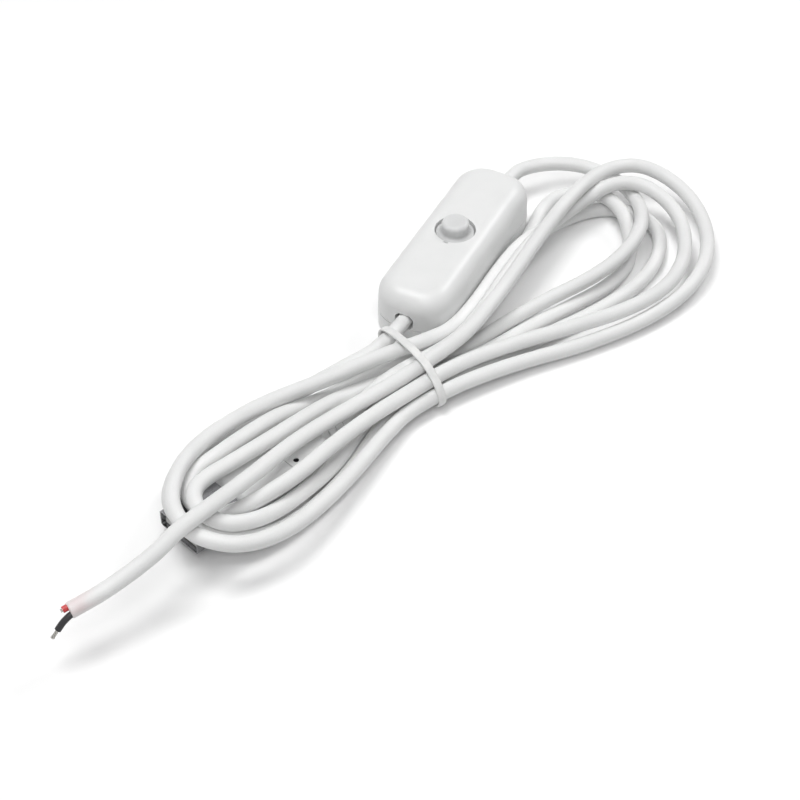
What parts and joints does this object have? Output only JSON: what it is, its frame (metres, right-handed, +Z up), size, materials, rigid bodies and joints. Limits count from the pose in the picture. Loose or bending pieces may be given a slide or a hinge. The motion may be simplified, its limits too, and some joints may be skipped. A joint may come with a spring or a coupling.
{
  "type": "usb switch cable",
  "caption": "White USB-A power lead with an in-line push-button switch and bare wire ends, tied up in a bow-shaped hank.",
  "frame": {"origin": "under the middle of the switch case, on the surface that the lead lies on", "axes": "+X along the switch case towards the cord that goes to the plug, +Z up through the push button"},
  "size_m": [0.191, 0.0801, 0.0174],
  "materials": {
    "cord": "soft white vinyl",
    "case": "moulded white",
    "button": "moulded white",
    "screw": "zinc plated",
    "module": "moulded black",
    "contact": "bare",
    "spring": "drawn wire",
    "red_insulation": "red vinyl",
    "black_insulation": "black vinyl",
    "tinned_wire": "tinned copper strands",
    "plug_shell": "nickel plated",
    "tongue": "moulded white",
    "gold": "gold flashed",
    "grip": "moulded white vinyl",
    "band": "white tie band"
  },
  "bodies": {
    "lead": {"upper_shell": "case", "lower_shell": "case", "case_screw_1": "screw", "case_screw_2": "screw", "button_spring": "spring", "module_body": "module", "module_cover": "module", "contact_in": "contact", "contact_out": "contact", "red_lead_in": "red_insulation", "red_lead_out": "red_insulation", "black_lead": "black_insulation", "wire_side_cord": "cord", "plug_side_cord": "cord", "red_core": "red_insulation", "black_core": "black_insulation", "red_conductor": "tinned_wire", "black_conductor": "tinned_wire", "plug_shell": "plug_shell", "plug_tongue": "tongue", "plug_contact_1": "gold", "plug_contact_2": "gold", "plug_contact_3": "gold", "plug_contact_4": "gold", "plug_grip": "grip", "tie_band": "band"},
    "button": {"push_button": "button", "module_stem": "button", "contact_bridge": "contact"}
  },
  "joints": [
    {"name": "button_press", "type": "slide", "parent": "lead", "child": "button", "axis": [0, 0, -1], "range_m": [0, 0.0016], "stiffness_N_per_m": 600, "springref_m": -0.001, "deforming": ["button_spring"]}
  ]
}
